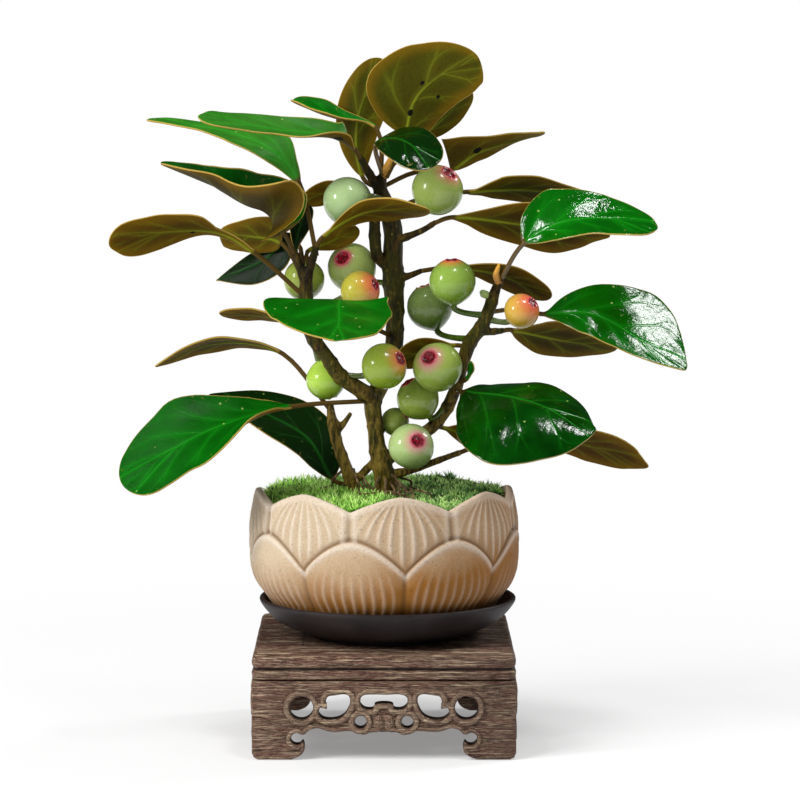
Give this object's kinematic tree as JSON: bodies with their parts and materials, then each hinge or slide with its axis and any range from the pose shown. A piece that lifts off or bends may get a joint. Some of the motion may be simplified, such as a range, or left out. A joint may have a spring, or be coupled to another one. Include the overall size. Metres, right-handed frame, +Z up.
{
  "type": "potted mistletoe fig bonsai",
  "caption": "Small bonsai with forked stems, spoon-shaped leaves and round figs, rooted in a lotus-petal pot on a saucer and a carved wooden stand.",
  "frame": {"origin": "on the floor under the middle of the whole outline's bounding box", "axes": "+Z up along the height; -Y is the front that the viewer looks at; +X to the viewer's right"},
  "size_m": [0.2312, 0.1192, 0.2813],
  "materials": {
    "stand_wood": "stained dark red-brown, worn",
    "saucer_clay": "matte unglazed dark clay",
    "pot_clay": "matte unglazed sandy stoneware",
    "soil": "loose dark potting soil",
    "moss": "soft dense moss",
    "bark": "rough greyish brown bark",
    "leaf": "glossy leathery leaf, olive-brown underside",
    "fig": "smooth waxy fruit skin"
  },
  "bodies": {
    "root": {"stand_top": "stand_wood", "stand_panel_front": "stand_wood", "stand_panel_back": "stand_wood", "stand_panel_left": "stand_wood", "stand_panel_right": "stand_wood", "saucer": "saucer_clay", "pot": "pot_clay", "soil": "soil", "moss": "moss", "stems": "bark", "leaf_crown_front": "leaf", "leaf_crown_left": "leaf", "leaf_crown_right": "leaf", "leaf_crown_side": "leaf", "leaf_crown_dark": "leaf", "leaf_upper_left_far": "leaf", "leaf_upper_left_near": "leaf", "leaf_middle_left_upper": "leaf", "leaf_long_left": "leaf", "leaf_behind_long_left": "leaf", "leaf_dark_left": "leaf", "leaf_dark_small": "leaf", "leaf_centre_brown": "leaf", "leaf_behind_centre": "leaf", "leaf_behind_fig": "leaf", "leaf_front": "leaf", "leaf_behind_front": "leaf", "leaf_arched_left": "leaf", "leaf_low_left": "leaf", "leaf_low_left_back": "leaf", "leaf_top_right": "leaf", "leaf_upper_right_back": "leaf", "leaf_upper_right_brown": "leaf", "leaf_upper_right_front": "leaf", "leaf_middle_right_dark": "leaf", "leaf_big_right": "leaf", "leaf_under_big_right": "leaf", "leaf_low_right_front": "leaf", "leaf_low_right_brown": "leaf", "leaf_behind_low_right": "leaf", "leaf_behind_right_figs": "leaf", "leaf_young_right": "leaf", "fig_top_left": "fig", "fig_top_right": "fig", "fig_middle_left": "fig", "fig_yellow_left": "fig", "fig_outer_left": "fig", "fig_middle_right": "fig", "fig_dark_right": "fig", "fig_yellow_right": "fig", "fig_low_left": "fig", "fig_centre": "fig", "fig_right": "fig", "fig_below_right": "fig", "fig_low_centre": "fig", "fig_olive_hidden": "fig"}
  },
  "joints": []
}
